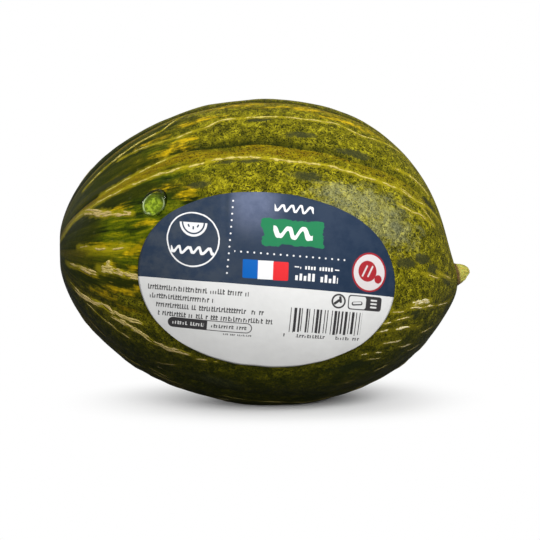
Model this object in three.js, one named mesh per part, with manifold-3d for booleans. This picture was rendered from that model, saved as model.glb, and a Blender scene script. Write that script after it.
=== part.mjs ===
// A green netted winter melon, whole, lying on its side, with its paper label and one bead of water.
// Millimetres. +X runs from the blossom end to the stem end, +Z is up, and the label faces -Y.
// The origin is under the middle of the melon, on the surface that it rests on.

import * as THREE from 'three';
import { mergeVertices } from 'three/addons/utils/BufferGeometryUtils.js';
import Module from 'manifold-3d';

// ---- Driving dimensions: millimetres, and degrees where the name says so ----

const HALF_LENGTH = 95;            // half the body, from blossom end to stem end
const VALLEY_RADIUS = 73;          // halfway along, at the valleys between the ribs
const STEM_END_FULLNESS = 0.08;    // how much the stem end is fuller than an ellipse, and the other end slimmer
const STEM_END_TILT = 1.8;         // how far the body's axis falls from its middle to the stem end
const STEM_END_DROOP = 10;         // how much further the stem end itself sags
const DROOP_POWER = 6;             // a high power keeps that sag close to the stem end

const RIB_COUNT = 10;
const RIB_HEIGHT = 1;
const FIRST_VALLEY_DEGREES = 11;   // above the level of the axis, on the label's side

const NECK_LENGTH = 4;             // the low cone that the stalk grew from
const NECK_RADIUS = 17.5;
const NECK_LEAN = 0.19;            // how far the cone's tip looks up, as a slope
const DIMPLE_DEPTH = 1.4;          // the scar at the blossom end
const DIMPLE_RADIUS = 5.5;

const BODY_CENTRE = new THREE.Vector3(-5.9, 0.25, 73); // its height leaves the flat spot that it rests on

const TOUCHING_GAP = 0.3;          // between the rind and what sits on it

const STALK_RADIUS = 5.1;
const STALK_LENGTH = 7;
const STALK_CUT_DEGREES = 48;      // how far the snapped face looks down from the stalk's own axis

const LABEL_HALF_LENGTH = 60.3;
const LABEL_HALF_WIDTH = 41.4;
const LABEL_THICKNESS = 0.2;
const LABEL_MIDDLE = 0.488;        // of the way along the rind, from the blossom end
const LABEL_HEIGHT_DEGREES = -7.4; // of its middle, around the body, below the level of the axis
const LABEL_TURN_DEGREES = -3.2;   // its stem end is lower

const DROP_RADIUS = 6;
const DROP_HEIGHT = 3.2;
const DROP_PULL = 0.28;            // how far its outline is drawn out on the uphill side
const DROP_ALONG = -0.537;         // of the half length
const DROP_HEIGHT_DEGREES = 24.6;

const degrees = THREE.MathUtils.degToRad;

// ---- The rind as one smooth surface, which everything else is laid on ----

function bodyRadius(along) {
  return VALLEY_RADIUS * Math.sqrt(Math.max(0, 1 - along * along)) * (1 + STEM_END_FULLNESS * along);
}

// along goes from -1 at the blossom end to 1 at the stem end; angle is 0 towards -Y and grows upwards.
function rindPoint(along, angle) {
  const rib = Math.abs(Math.sin(RIB_COUNT / 2 * (angle - degrees(FIRST_VALLEY_DEGREES))));
  const radius = bodyRadius(along) + RIB_HEIGHT * rib * (1 - along ** 6);
  const up = radius * Math.sin(angle);
  const axisHeight = -STEM_END_TILT * along - STEM_END_DROOP * Math.max(0, along) ** DROOP_POWER;
  const neck = (NECK_LENGTH - NECK_LEAN * up) * Math.exp(-((radius / NECK_RADIUS) ** 2));
  const dimple = DIMPLE_DEPTH * Math.exp(-((radius / DIMPLE_RADIUS) ** 2));
  const shift = along > 0 ? neck : dimple;
  return new THREE.Vector3(HALF_LENGTH * along + shift, -radius * Math.cos(angle), axisHeight + up)
    .add(BODY_CENTRE);
}

function rindNormal(along, angle) {
  const step = 0.004;
  const lengthwise = rindPoint(along + step, angle).sub(rindPoint(along - step, angle));
  const aroundwise = rindPoint(along, angle + step).sub(rindPoint(along, angle - step));
  return lengthwise.cross(aroundwise).normalize();
}

// ---- Solids for cutting ----

const wasm = await Module();
wasm.setup();

function toManifold(geometry) {
  const bare = geometry.clone();
  bare.deleteAttribute('normal');
  bare.deleteAttribute('uv');
  const merged = mergeVertices(bare, 1e-4);
  const corners = merged.index.array;
  const faces = [];
  for (let i = 0; i < corners.length; i += 3) {
    const [a, b, c] = corners.slice(i, i + 3);
    // A lathe leaves triangles with no area at its poles.
    if (a !== b && b !== c && c !== a) faces.push(a, b, c);
  }
  return new wasm.Manifold(new wasm.Mesh({
    numProp: 3,
    vertProperties: new Float32Array(merged.attributes.position.array),
    triVerts: new Uint32Array(faces),
  }));
}

function toGeometry(manifold) {
  const mesh = manifold.getMesh();
  const geometry = new THREE.BufferGeometry();
  geometry.setAttribute('position', new THREE.BufferAttribute(mesh.vertProperties, 3));
  geometry.setIndex(new THREE.BufferAttribute(mesh.triVerts, 1));
  geometry.computeVertexNormals();
  return geometry;
}

function placeVertices(geometry, place) {
  const position = geometry.attributes.position;
  for (let i = 0; i < position.count; i += 1) {
    const spot = place(position.getX(i), position.getY(i), position.getZ(i));
    position.setXYZ(i, spot.x, spot.y, spot.z);
  }
  return geometry;
}

// ---- The melon: one solid, a turned body with ribs, cut flat where it rests ----

function melonGeometry() {
  const steps = 36;
  const facetsPerRib = 6;
  const profile = [];
  for (let i = 0; i <= steps; i += 1) {
    const turn = Math.PI * (i / steps - 0.5);
    // A body of half length 1 about the Y axis, which the rind's own surface then shapes.
    profile.push(new THREE.Vector2(i % steps === 0 ? 0 : Math.cos(turn), Math.sin(turn)));
  }
  const body = new THREE.LatheGeometry(profile, RIB_COUNT * facetsPerRib);
  const firstValley = degrees(FIRST_VALLEY_DEGREES);
  placeVertices(body, (x, y, z) => rindPoint(y, Math.atan2(-x, z) + firstValley));
  const floor = new THREE.BoxGeometry(300, 300, 40);
  floor.translate(0, 0, -20);
  return toGeometry(toManifold(body).subtract(toManifold(floor)));
}

// ---- The stalk stub: a short tapered peg, snapped off at a slant ----

function stalkGeometry() {
  const profile = [
    [0, 0],
    [1, 0],
    [0.96, 0.14],
    [0.87, 0.43],
    [0.7, 0.7],
    [0.45, 0.9],
    [0, 1],
  ].map(([out, along]) => new THREE.Vector2(out * STALK_RADIUS, along * STALK_LENGTH));
  const peg = new THREE.LatheGeometry(profile, 28);
  const waste = new THREE.BoxGeometry(40, 40, 40);
  const slant = degrees(STALK_CUT_DEGREES);
  waste.translate(0, 20, 0);
  waste.rotateX(-slant);
  waste.translate(0, 0.8, -STALK_RADIUS);
  const snapped = toGeometry(toManifold(peg).subtract(toManifold(waste)));
  // The lathe's axis is laid along +X, and its underside stays down.
  snapped.rotateZ(-Math.PI / 2);
  return snapped;
}

// ---- The label: a thin oval of paper that lies on the rind ----

const meridian = new THREE.SplineCurve(
  Array.from({ length: 65 }, (_, i) => {
    const along = Math.sin(Math.PI * (i / 64 - 0.5));
    return new THREE.Vector2(bodyRadius(along), HALF_LENGTH * along);
  }),
);
const meridianLength = meridian.getLength();

function labelGeometry() {
  const rings = 10;
  const radii = Array.from({ length: rings + 1 }, (_, i) => i / rings);
  const underside = radii.map((radius) => new THREE.Vector2(radius, 0));
  const face = radii.map((radius) => new THREE.Vector2(radius, 1)).reverse();
  const disc = new THREE.LatheGeometry([...underside, ...face], 40);
  const turn = degrees(LABEL_TURN_DEGREES);
  return placeVertices(disc, (x, y, z) => {
    const right = LABEL_HALF_LENGTH * x;
    const up = -LABEL_HALF_WIDTH * z;
    const lengthwise = right * Math.cos(turn) - up * Math.sin(turn);
    const aroundwise = right * Math.sin(turn) + up * Math.cos(turn);
    const station = meridian.getPointAt(LABEL_MIDDLE + lengthwise / meridianLength);
    const along = station.y / HALF_LENGTH;
    const angle = degrees(LABEL_HEIGHT_DEGREES) + aroundwise / station.x;
    const lift = TOUCHING_GAP + LABEL_THICKNESS * y;
    return rindPoint(along, angle).addScaledVector(rindNormal(along, angle), lift);
  });
}

// ---- The bead of water: a low dome with a flat base, drawn out uphill ----

function dropGeometry() {
  const steps = 7;
  const profile = [new THREE.Vector2(0, 0)];
  for (let i = 0; i <= steps; i += 1) {
    const turn = (Math.PI / 2) * (i / steps);
    const out = i === steps ? 0 : DROP_RADIUS * Math.cos(turn);
    profile.push(new THREE.Vector2(out, DROP_HEIGHT * Math.sin(turn)));
  }
  const dome = new THREE.LatheGeometry(profile, 24);
  const uphill = degrees(50);
  return placeVertices(dome, (x, y, z) => {
    const reach = (x * Math.cos(uphill) + z * Math.sin(uphill)) / DROP_RADIUS;
    const stretch = DROP_RADIUS * DROP_PULL * Math.max(0, reach) ** 2;
    return new THREE.Vector3(x + stretch * Math.cos(uphill), y, z + stretch * Math.sin(uphill));
  });
}

// ---- The object ----

function sheen(color, roughness, extra = {}) {
  return new THREE.MeshStandardMaterial({ color, roughness, metalness: 0, ...extra });
}

const melon = new THREE.Mesh(melonGeometry(), sheen(0x58590f, 0.5));
melon.name = 'melon';

const stalk = new THREE.Mesh(stalkGeometry(), sheen(0xb5a23c, 0.7));
stalk.name = 'stalk_stub';
stalk.position.copy(rindPoint(1, 0)).add(new THREE.Vector3(TOUCHING_GAP, 0, 0));
stalk.rotation.y = -Math.atan(NECK_LEAN);

const label = new THREE.Mesh(labelGeometry(), sheen(0x2b3a55, 0.35));
label.name = 'label';

const drop = new THREE.Mesh(dropGeometry(), sheen(0xdfe8dc, 0.05, { transparent: true, opacity: 0.35 }));
const dropAngle = degrees(DROP_HEIGHT_DEGREES);
const dropNormal = rindNormal(DROP_ALONG, dropAngle);
drop.name = 'water_drop';
drop.position.copy(rindPoint(DROP_ALONG, dropAngle)).addScaledVector(dropNormal, TOUCHING_GAP);
drop.quaternion.setFromUnitVectors(new THREE.Vector3(0, 1, 0), dropNormal);

const group = new THREE.Group();
group.add(melon, stalk, label, drop);

export default group;
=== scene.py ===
import math

import bpy
import numpy as np
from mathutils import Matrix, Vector


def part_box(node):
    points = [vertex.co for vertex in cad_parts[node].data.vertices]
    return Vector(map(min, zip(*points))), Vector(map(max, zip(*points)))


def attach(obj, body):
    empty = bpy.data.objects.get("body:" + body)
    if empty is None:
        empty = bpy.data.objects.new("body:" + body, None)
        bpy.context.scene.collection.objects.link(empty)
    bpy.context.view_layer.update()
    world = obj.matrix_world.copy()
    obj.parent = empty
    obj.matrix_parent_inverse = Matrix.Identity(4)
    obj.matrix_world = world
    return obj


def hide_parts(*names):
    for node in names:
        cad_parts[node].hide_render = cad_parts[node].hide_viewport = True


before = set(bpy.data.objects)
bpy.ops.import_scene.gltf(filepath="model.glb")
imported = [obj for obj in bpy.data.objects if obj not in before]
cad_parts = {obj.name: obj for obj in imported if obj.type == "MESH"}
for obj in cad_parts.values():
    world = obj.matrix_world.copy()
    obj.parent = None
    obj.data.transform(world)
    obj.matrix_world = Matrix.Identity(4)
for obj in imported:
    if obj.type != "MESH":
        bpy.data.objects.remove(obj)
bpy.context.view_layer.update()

# ---- The rind ----
# A whole winter melon of the toad-skin kind: a firm waxy rind, grown in one piece. Ten shallow ribs
# run from the blossom end to the stem end, and a valley with a sharp crease parts each from the next.
# It lies loose on its side, on a small flattened spot.

# Lengths are millimetres from the body's middle, and angles are degrees round the body's axis: 0 faces
# -Y, where the label is, and they grow upwards. A part is a share of the half length, -1 to 1.
MM = 0.001
HALF_LENGTH = 95.0
VALLEY_RADIUS = 73.0
STEM_END_FULLNESS = 0.08
STEM_END_TILT = 1.8
STEM_END_DROOP = 10.0
DROOP_POWER = 6
RIBS = 10
RIB_PITCH = 360.0 / RIBS
RIB_HEIGHT = 1.0
FIRST_VALLEY = 11.0
NECK_LENGTH = 4.0
NECK_RADIUS = 17.5
NECK_LEAN = 0.19
DIMPLE_DEPTH = 1.4
DIMPLE_RADIUS = 5.5

CREASE_DEPTH = 0.9
CREASE_WIDTH = 2.2
# The creases lean together along the body: how far they stand off their even places.
CREASE_STATIONS = [-95, -63, -40, -5, 32, 60, 95]
CREASE_LEAN = [-7, -3, 1.5, 0, -4, -6, -3]
CREASE_WAVER = 0.5

LUMP_SIZE = 38.0
LUMP_HEIGHT = 0.35
GRAIN_SIZE = 9.0
GRAIN_HEIGHT = 0.06


def wander(along, size, seed):
    """A smooth, even, repeatable waver along a line, about -1 to 1."""
    draws = np.random.default_rng(seed)
    total = np.zeros_like(along, dtype=float)
    for _ in range(5):
        pitch = size * draws.uniform(0.6, 1.8)
        total += np.sin(2 * math.pi * along / pitch + draws.uniform(0, 2 * math.pi))
    return total / 2.5


def ripple(points, size, seed):
    """The same over a surface in space, so that it has no seam."""
    draws = np.random.default_rng(seed)
    total = np.zeros(points.shape[:-1])
    for _ in range(14):
        heading = draws.normal(size=3)
        heading *= 2 * math.pi / (size * draws.uniform(0.6, 1.8) * np.linalg.norm(heading))
        total += np.sin(points @ heading + draws.uniform(0, 2 * math.pi))
    return total / 4.0


def crease_phase(along, angle):
    """How far below the nearest crease above it a point is: 0 at the crease, 1 at the next one down."""
    lean = np.interp(along, CREASE_STATIONS, CREASE_LEAN)
    return np.mod((FIRST_VALLEY + lean + wander(along, 45, 3) * CREASE_WAVER - angle) / RIB_PITCH, 1.0)


def crease_strength(along, angle):
    """The creases are sharpest on top and to the left. One beside the label is all but grown out."""
    around = np.interp(
        np.mod(angle + 180, 360) - 180,
        [-180, -140, -75, -35, -12, 10, 28, 40, 180],
        [1.0, 0.5, 0.15, 0.35, 0.5, 0.12, 0.5, 1.0, 1.0],
    )
    return around * np.interp(along, [0, 75], [1.0, 0.45])


def body_radius(part):
    return VALLEY_RADIUS * np.sqrt(np.maximum(0, 1 - part**2)) * (1 + STEM_END_FULLNESS * part)


def rind_surface(part, angle, skin=True):
    """Points on the rind. Without its skin it has no creases or grain, only ribs as paper bridges them."""
    part, angle = np.broadcast_arrays(np.asarray(part, float), np.asarray(angle, float))
    along = HALF_LENGTH * part
    phase = crease_phase(along, angle)
    turn = np.radians(angle)
    from_crease = np.minimum(phase, 1 - phase) * math.radians(RIB_PITCH) * body_radius(part)
    ends = 1 - part**6
    if skin:
        rib = RIB_HEIGHT * np.sin(math.pi * phase) * ends
        groove = CREASE_DEPTH * np.exp(-((from_crease / CREASE_WIDTH) ** 2)) * (1 - part**20)
        rib -= groove * crease_strength(along, angle)
    else:
        rib = RIB_HEIGHT * (0.82 + 0.18 * np.sin(math.pi * phase) ** 2) * ends
    radius = body_radius(part) + rib
    up = radius * np.sin(turn)
    axis_height = -STEM_END_TILT * part - STEM_END_DROOP * np.maximum(0, part) ** DROOP_POWER
    neck = (NECK_LENGTH - NECK_LEAN * up) * np.exp(-((radius / NECK_RADIUS) ** 2))
    dimple = DIMPLE_DEPTH * np.exp(-((radius / DIMPLE_RADIUS) ** 2))
    shift = np.where(part > 0, neck, dimple)
    points = np.stack([along + shift, -radius * np.cos(turn), axis_height + up], -1)
    swell = LUMP_HEIGHT * ripple(points, LUMP_SIZE, 11)
    if skin:
        swell += GRAIN_HEIGHT * ripple(points, GRAIN_SIZE, 12)
    outward = np.stack([0 * up, -np.cos(turn), np.sin(turn)], -1)
    return points + outward * (swell * ends)[..., None]


def rind_normal(part, angle, skin=True):
    step = 0.01
    lengthwise = rind_surface(part + step, angle, skin) - rind_surface(part - step, angle, skin)
    aroundwise = rind_surface(part, angle + 1.0, skin) - rind_surface(part, angle - 1.0, skin)
    normal = np.cross(lengthwise, aroundwise)
    return normal / np.linalg.norm(normal, axis=-1, keepdims=True)


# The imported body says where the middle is. The rind is cut off flat at the surface it rests on.
melon_low, melon_high = (np.array(corner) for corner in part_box("melon"))
rough_part, rough_angle = np.meshgrid(np.sin(np.linspace(-1.57, 1.57, 90)), np.arange(-180, 180, 3.0))
rough = rind_surface(rough_part, rough_angle)
BODY_MIDDLE = np.array([
    melon_low[0] / MM - rough[..., 0].min(),
    (melon_low[1] + melon_high[1]) / 2 / MM,
    melon_high[2] / MM - rough[..., 2].max(),
])


def in_frame(points):
    """From mm about the body's middle to metres in the frame, settled on the resting surface."""
    placed = (points + BODY_MIDDLE) * MM
    settle = 0.0006
    above = placed[..., 2]
    placed[..., 2] = np.where(above < settle, np.maximum(0, settle * np.exp(above / settle - 1)), above)
    return placed


def add_piece(name, points, faces, smooth=True):
    """A mesh object from an array of points in metres and a list of faces."""
    mesh = bpy.data.meshes.new(name)
    mesh.from_pydata(points.tolist(), [], faces)
    mesh.validate()
    if smooth:
        mesh.shade_smooth()
    piece = bpy.data.objects.new(name, mesh)
    bpy.context.scene.collection.objects.link(piece)
    return piece


def add_values(piece, name, values):
    """A number, or three of them, at each vertex, for the material to read."""
    kind = "FLOAT_VECTOR" if values.ndim == 2 else "FLOAT"
    made = piece.data.attributes.new(name, kind, "POINT")
    made.data.foreach_set("vector" if values.ndim == 2 else "value", values.astype(np.float32).ravel())


def add_map(piece, places):
    """The map that the colours are baked through, from a place for every corner of every face."""
    layer = piece.data.uv_layers.new(name="OFBake")
    layer.data.foreach_set("uv", places.astype(np.float32).ravel())


RIND_ROWS = 300
RIND_COLUMNS = 318


def build_rind():
    """Rows from the blossom end to the stem end, closed at each end by a single point."""
    rows = np.arange(1, RIND_ROWS) / RIND_ROWS
    part = np.sin(math.pi * (rows - 0.5))
    angle = 360.0 * np.arange(RIND_COLUMNS) / RIND_COLUMNS
    part_grid, angle_grid = np.meshgrid(part, angle, indexing="ij")
    part_all = np.concatenate([[-1.0], part_grid.ravel(), [1.0]])
    angle_all = np.concatenate([[0.0], angle_grid.ravel(), [0.0]])
    points = rind_surface(part_all, angle_all)
    faces = []
    places = []
    wide, tall = 1.0 / RIND_COLUMNS, 1.0 / RIND_ROWS

    def vertex(row, column):
        return 1 + row * RIND_COLUMNS + column % RIND_COLUMNS

    for column in range(RIND_COLUMNS):
        left, right = column * wide, (column + 1) * wide
        faces.append((0, vertex(0, column + 1), vertex(0, column)))
        places += [((left + right) / 2, 0), (right, tall), (left, tall)]
    for row in range(RIND_ROWS - 2):
        bottom, top = (row + 1) * tall, (row + 2) * tall
        for column in range(RIND_COLUMNS):
            left, right = column * wide, (column + 1) * wide
            faces.append((
                vertex(row, column), vertex(row, column + 1),
                vertex(row + 1, column + 1), vertex(row + 1, column),
            ))
            places += [(left, bottom), (right, bottom), (right, top), (left, top)]
    last = len(part_all) - 1
    for column in range(RIND_COLUMNS):
        left, right = column * wide, (column + 1) * wide
        faces.append((last, vertex(RIND_ROWS - 2, column), vertex(RIND_ROWS - 2, column + 1)))
        places += [((left + right) / 2, 1), (left, 1 - tall), (right, 1 - tall)]
    piece = add_piece("rind", in_frame(points), faces)
    add_map(piece, np.array(places))
    return piece, part_all, angle_all


rind, rind_part, rind_angle = build_rind()
rind_along = HALF_LENGTH * rind_part
rind_radius = np.maximum(body_radius(rind_part), 4.0)


def from_line(stations, angles):
    """How far each point of the rind is from a line that runs along the body, in mm."""
    line_angle = np.interp(rind_along, stations, angles)
    across = np.radians(np.mod(rind_angle - line_angle + 180, 360) - 180) * rind_radius
    beyond = np.maximum(0, np.maximum(stations[0] - rind_along, rind_along - stations[-1]))
    return np.hypot(across, beyond)


def spotted(spots):
    """1 in the middle of each long spot, 0.5 at its edge. A spot is its place, length and width."""
    mask = np.zeros_like(rind_along)
    for along, angle, long, wide in spots:
        across = np.radians(np.mod(rind_angle - angle + 180, 360) - 180) * rind_radius
        reach = np.hypot((rind_along - along) / (long / 2), across / (wide / 2))
        mask = np.maximum(mask, 1 - reach / 2)
    return np.clip(mask, 0, 1)


def label_side(angle):
    """The side whose spots and streaks are listed one by one."""
    return -50 < angle < 85


def scattered(count, seed, longest, widest):
    """More spots, for the other sides."""
    draws = np.random.default_rng(seed)
    spots = []
    for _ in range(count):
        along = HALF_LENGTH * math.sin(draws.uniform(-1.35, 1.35))
        angle = draws.uniform(-180, 180)
        size = draws.uniform(0.4, 1.0)
        if not label_side(angle):
            spots.append((along, angle, longest * size, widest * size * draws.uniform(0.7, 1.3)))
    return spots


# Dark grey-green bruises, amber flames, deep green patches partly painted as shade, and bloom partly painted
# as sheen: along, angle, length and width.
BRUISES = [
    (17, 51, 16, 4), (41, 46, 18, 4), (17, 32, 16, 4.5), (63, 1, 10, 5), (72, 4, 9, 4.5), (79, -1, 7, 5),
    (-2, 60.5, 12, 3), (-7, 38.5, 13, 2.5), (-18, 39, 10, 2.5), (59, 16, 6, 5), (79, 42, 9, 4),
    (70, -26, 8, 5), (-31, 30, 10, 3), (40, -45, 22, 6), (-72, 46, 22, 3), (88, -6, 6, 6),
]
FLAMES = [
    (-56, 6, 13, 5), (-62, 3, 8, 4), (-75, 7, 10, 3), (-71, -5, 6, 5), (-80, -12, 9, 3), (-36, 27, 9, 5),
    (-46, 31, 12, 3), (-37, 55, 13, 4), (-44, 51, 18, 4), (-52, 62, 18, 3), (-30, 66, 24, 4),
    (-55, 17, 10, 3), (-60, -4, 7, 3), (20, 71, 44, 6), (-10, 75, 30, 6), (-66, 27, 9, 3),
    (40, 66, 30, 5), (-66, -17, 14, 4), (-75, -23, 12, 4), (-57, -13, 9, 4), (-63, -27, 10, 3),
]
DEEP_PATCHES_AND_SHADE = [
    (-60, 76, 80, 34), (-72, 49, 40, 12), (-66, 61, 44, 9), (-68, 40.5, 30, 5), (-84, 20, 14, 16),
    (-70, -14, 36, 16), (-88, -10, 12, 30), (-62, -33, 50, 14), (-54, -23, 30, 12), (-35, 31, 26, 7),
    (-62, 33, 24, 6), (-20, 53, 50, 7), (30, 52, 40, 5), (20, -48, 90, 14),
]
BLOOM_AND_SHEEN = [(42, 23, 38, 15), (54, 15, 26, 14), (30, 27, 20, 8)]


def underside_share(turn):
    """0 on the sides and above, 1 underneath."""
    below = np.degrees(np.arctan2(-np.sin(turn), np.abs(np.cos(turn))))
    return np.clip((below + 2) / 58, 0, 1)


ROD_RADIUS = 60.0


def on_rod(along, turn):
    """The body as if it were drawn out to a straight rod, so that patterns follow the ribs."""
    return np.stack([along, ROD_RADIUS * np.cos(turn), ROD_RADIUS * np.sin(turn)], -1)


rind_turn = np.radians(rind_angle)
phase_turn = 2 * math.pi * crease_phase(rind_along, rind_angle)
add_values(rind, "shaded_underside", underside_share(rind_turn))
add_values(rind, "bruise", spotted(BRUISES + scattered(60, 21, 20, 6)))
add_values(rind, "amber", spotted(FLAMES + scattered(34, 22, 26, 7)))
add_values(rind, "deep_patch_and_shade", spotted(DEEP_PATCHES_AND_SHADE + scattered(26, 24, 60, 16)))
add_values(rind, "bloom_and_sheen", spotted(BLOOM_AND_SHEEN + scattered(9, 23, 46, 18)))
add_values(rind, "crease", crease_strength(rind_along, rind_angle))
add_values(rind, "crease_sin", np.sin(phase_turn))
add_values(rind, "crease_cos", np.cos(phase_turn))
add_values(rind, "rod", on_rod(rind_along, rind_turn))

# Where the rind split as it grew: half width, colour of the cork (0 yellow, 0.5 tan, 1 pale), then
# points along the body and their angles.
SPLITS = [
    (0.75, 0.0, [(-66, 61), (-43, 58.5), (-28, 59.5), (-17, 63), (0, 62), (17, 61), (34, 62), (46, 58),
                 (62, 64), (73, 68)]),
    (0.95, 0.05, [(-93, 29), (-88, 34), (-78, 36), (-62, 38), (-44, 39), (-30, 39.5), (-22, 41), (-5, 40),
                  (12, 38), (30, 37), (47, 35), (60, 35), (70, 34), (78, 37), (86, 42)]),
    (0.75, 0.1, [(-82, 60), (-70, 64), (-58, 67), (-46, 69), (-34, 80)]),
    (0.6, 0.0, [(-75, 42), (-62, 44), (-52, 46), (-40, 48)]),
    (0.6, 0.1, [(60, 46), (70, 49), (79, 50)]),
    (0.6, 0.1, [(61, 36), (71, 34), (80, 28)]),
    (0.75, 0.2, [(60, 27), (67, 26), (75, 27), (80, 27)]),
    (0.7, 0.75, [(56, -20.6), (63, -21.8), (68, -21.4), (78, -23.8), (87, -30), (92, -36)]),
    (1.5, 1.0, [(67, -19.2), (77, -19.8)]),
    (0.85, 0.9, [(48, -29.2), (55, -29.8), (63, -31), (74, -35.6)]),
    (0.8, 0.8, [(51, -25.4), (57, -25.8)]),
    (0.75, 0.7, [(74, -40.6), (80, -44.2), (87, -50)]),
    (0.75, 0.8, [(53, -36), (63, -38)]),
    (0.65, 0.8, [(62, -41.8), (73, -48)]),
    (0.65, 0.7, [(68, -51), (76, -54.6)]),
    (0.7, 0.8, [(43, -38.8), (54, -41.2)]),
    (0.55, 0.8, [(46, -42.8), (54, -44.8)]),
    (0.5, 0.7, [(58, -25), (68, -26.5)]),
    (0.6, 0.3, [(72, -3.6), (82, -6)]),
    (0.6, 0.3, [(81, -1.8), (90, -5.4)]),
    (2.2, 0.5, [(-83, 36), (-80, 33), (-77, 28.5), (-72, 25.8)]),
    (1.3, 0.5, [(-75, 26.5), (-68, 24.6), (-61, 22.4)]),
    (0.9, 0.35, [(-85, 7.4), (-78, 5.8), (-70, 4.6), (-64, 6)]),
    (1.1, 0.5, [(-90, -13.5), (-83, -9.8), (-77, -11.4)]),
    (1.2, 0.5, [(-90, -37), (-84, -37), (-79, -35), (-73, -31.6)]),
    (1.7, 0.5, [(-70, -6.4), (-65, -7.4), (-57, -8.4)]),
    (2.3, 0.25, [(-75, -7), (-69.5, -6.4)]),
    (1.1, 0.25, [(-73, -4.6), (-71, -2)]),
    (1.3, 0.5, [(-80, -33.4), (-74, -32), (-69, -33)]),
    (1.5, 0.45, [(-71, -35), (-64, -36.6), (-57, -37.6), (-52, -40.2)]),
    (1.0, 0.4, [(-70, -32), (-62, -32.6), (-56, -31.6)]),
    (1.3, 0.55, [(-52, -40.6), (-45, -40.8), (-34, -40.2)]),
    (0.9, 0.4, [(-82, -40), (-72, -43), (-62, -45)]),
    (0.9, 0.5, [(-33, -42.2), (-23, -40.6)]),
    (0.9, 0.5, [(-50, -55), (-39, -50)]),
]


def grown_splits(seed):
    """More for the sides that the list above leaves bare: two broken veins a rib, and short dashes."""
    draws = np.random.default_rng(seed)
    lines = []
    for rib in range(RIBS):
        for share in (0.22, 0.55):
            start = -88.0
            base = FIRST_VALLEY - RIB_PITCH * (rib + share * draws.uniform(0.8, 1.2))
            while start < 80:
                length = draws.uniform(18, 75)
                end = min(start + length, 86)
                stations = np.linspace(start, end, max(3, int(length / 10)))
                lean = np.interp(stations, CREASE_STATIONS, CREASE_LEAN)
                angles = base + lean + wander(stations, 40, int(draws.integers(1e6))) * 1.6
                lines.append((draws.uniform(0.4, 0.9), draws.uniform(0, 0.5), list(zip(stations, angles))))
                start = end + draws.uniform(3, 26)
    for _ in range(150):
        side = draws.choice([-1, 1])
        start = side * draws.uniform(20, 88)
        angle = draws.uniform(-180, 180)
        length = draws.uniform(3, 13)
        slope = draws.uniform(-0.5, 0.5)
        stations = np.linspace(start, min(start + length, 91), 3)
        angles = angle + slope * (stations - start)
        lines.append((draws.uniform(0.3, 0.8), draws.uniform(0, 1), list(zip(stations, angles))))
    middle_angles = [line[len(line) // 2][1] for _, _, line in lines]
    return [
        split for split, angle in zip(lines, middle_angles)
        if not label_side((angle + 180) % 360 - 180)
    ]


def stained(splits):
    """How yellow the rind is beside the splits, 0 to 1."""
    halo = np.zeros_like(rind_along)
    for half_width, _, line in splits:
        away = from_line([along for along, _ in line], [angle for _, angle in line])
        halo = np.maximum(halo, np.exp(-((away / (half_width + 0.8)) ** 2)))
    return halo


splits = SPLITS + grown_splits(31)
add_values(rind, "halo", stained(splits))


class Shader:
    """A node tree written as expressions: each call adds a node and gives back its output."""

    def __init__(self, tree):
        self.tree = tree

    def node(self, kind, inputs=None, output=0, **settings):
        made = self.tree.nodes.new(kind)
        for name, value in settings.items():
            setattr(made, name, value)
        for socket, value in (inputs or {}).items():
            self.feed(made.inputs[socket], value)
        return made.outputs[output]

    def feed(self, socket, value):
        if isinstance(value, bpy.types.NodeSocket):
            self.tree.links.new(value, socket)
        else:
            socket.default_value = value

    def maths(self, operation, *values, clamp=False):
        inputs = dict(enumerate(values))
        return self.node("ShaderNodeMath", inputs, operation=operation, use_clamp=clamp)

    def weigh(self, *terms):
        """The sum of (value, weight) pairs."""
        total = 0.0
        for value, weight in terms:
            total = self.maths("MULTIPLY_ADD", value, weight, total)
        return total

    def step(self, value, start, end):
        """0 at start, 1 at end, smooth between."""
        inputs = {"Value": value, "From Min": start, "From Max": end}
        return self.node("ShaderNodeMapRange", inputs, interpolation_type="SMOOTHSTEP")

    def mix(self, mask, under, over):
        return self.node("ShaderNodeMix", {0: mask, 6: under, 7: over}, output=2, data_type="RGBA")

    def ramp(self, value, *stops):
        """Colours along a value: (place, colour) pairs."""
        made = self.tree.nodes.new("ShaderNodeValToRGB")
        while len(made.color_ramp.elements) < len(stops):
            made.color_ramp.elements.new(0.5)
        for element, (place, colour) in zip(made.color_ramp.elements, stops):
            element.position = place
            element.color = colour
        self.feed(made.inputs[0], value)
        return made.outputs[0]

    def noise(self, vector, scale, detail=3.0, roughness=0.55, distortion=0.0):
        return self.node("ShaderNodeTexNoise", {
            "Vector": vector, "Scale": scale, "Detail": detail,
            "Roughness": roughness, "Distortion": distortion,
        })

    def stretched(self, vector, size, shift=(0, 0, 0)):
        return self.node("ShaderNodeMapping", {"Vector": vector, "Scale": size, "Location": shift})

    def placed(self, group, inputs):
        """A node group with its own values: gives its outputs."""
        made = self.node("ShaderNodeGroup", node_tree=group).node
        for socket, value in inputs.items():
            self.feed(made.inputs[socket], value)
        return made.outputs

    def value(self, name):
        return self.node("ShaderNodeAttribute", attribute_name=name, output=2)

    def vector(self, name):
        return self.node("ShaderNodeAttribute", attribute_name=name, output=1)


def rgb(red, green, blue):
    return (red, green, blue, 1.0)


def new_material(name):
    """A material with a Principled shader: gives the material, its tree and the shader's inputs."""
    material = bpy.data.materials.new(name)
    material.use_nodes = True
    surface = next(node for node in material.node_tree.nodes if node.type == "BSDF_PRINCIPLED")
    return material, Shader(material.node_tree), surface.inputs


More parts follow.
